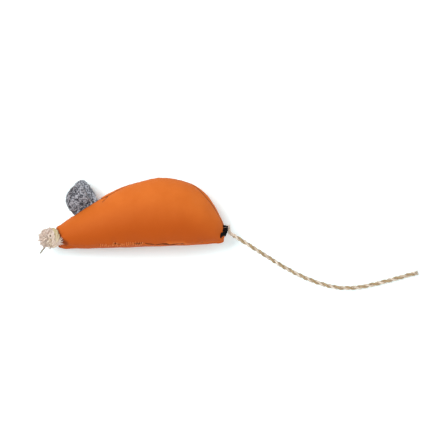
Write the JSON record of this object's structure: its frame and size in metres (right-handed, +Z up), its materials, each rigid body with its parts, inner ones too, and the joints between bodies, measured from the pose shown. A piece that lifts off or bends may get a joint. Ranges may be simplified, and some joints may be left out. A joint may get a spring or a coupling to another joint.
{
  "type": "catnip mouse",
  "caption": "Stuffed cloth toy mouse lying on its side, with felt ears, a frayed rope nose and a twine tail sewn on with thread.",
  "frame": {"origin": "middle of the flattened patch of the right flank, on which the mouse lies", "axes": "+X from nose to tail, +Y from the base to the back, +Z up from the surface"},
  "size_m": [0.2442, 0.0782, 0.0322],
  "materials": {
    "orange_cloth": "smooth close-woven cloth",
    "filling": "fibre filling",
    "herb": "loose dried herb",
    "grey_felt": "mottled wool felt",
    "cream_rope": "frayed cotton rope",
    "twine": "two-ply natural twine",
    "black_thread": "satin sewing thread",
    "orange_thread": "sewing thread"
  },
  "bodies": {
    "body": {"left_flank": "orange_cloth", "right_flank": "orange_cloth", "base_panel": "orange_cloth", "stuffing": "filling", "catnip_herb": "herb", "left_ear_tab": "grey_felt", "right_ear_tab": "grey_felt", "nose_knot": "cream_rope", "tail_stub": "twine", "tail_cord": "twine", "tail_tack": "black_thread", "back_thread": "orange_thread", "left_base_thread_front": "orange_thread", "left_base_thread_rear": "orange_thread", "right_base_thread": "orange_thread", "closing_thread": "orange_thread"},
    "left_ear_blade": {"left_ear": "grey_felt"},
    "right_ear_blade": {"right_ear": "grey_felt"}
  },
  "joints": [
    {"name": "left_ear_fold", "type": "hinge", "parent": "body", "child": "left_ear_blade", "pos_m": [-0.05054, 0.00581, 0.01595], "axis": [0.8589, 0.5122, 0], "range_deg": [-15, 60], "stiffness_Nm_per_rad": 0.002},
    {"name": "right_ear_fold", "type": "hinge", "parent": "body", "child": "right_ear_blade", "pos_m": [-0.04764, 0.00751, 0.01445], "axis": [0.8653, 0.5013, 0], "range_deg": [-25, 10], "stiffness_Nm_per_rad": 0.002}
  ]
}
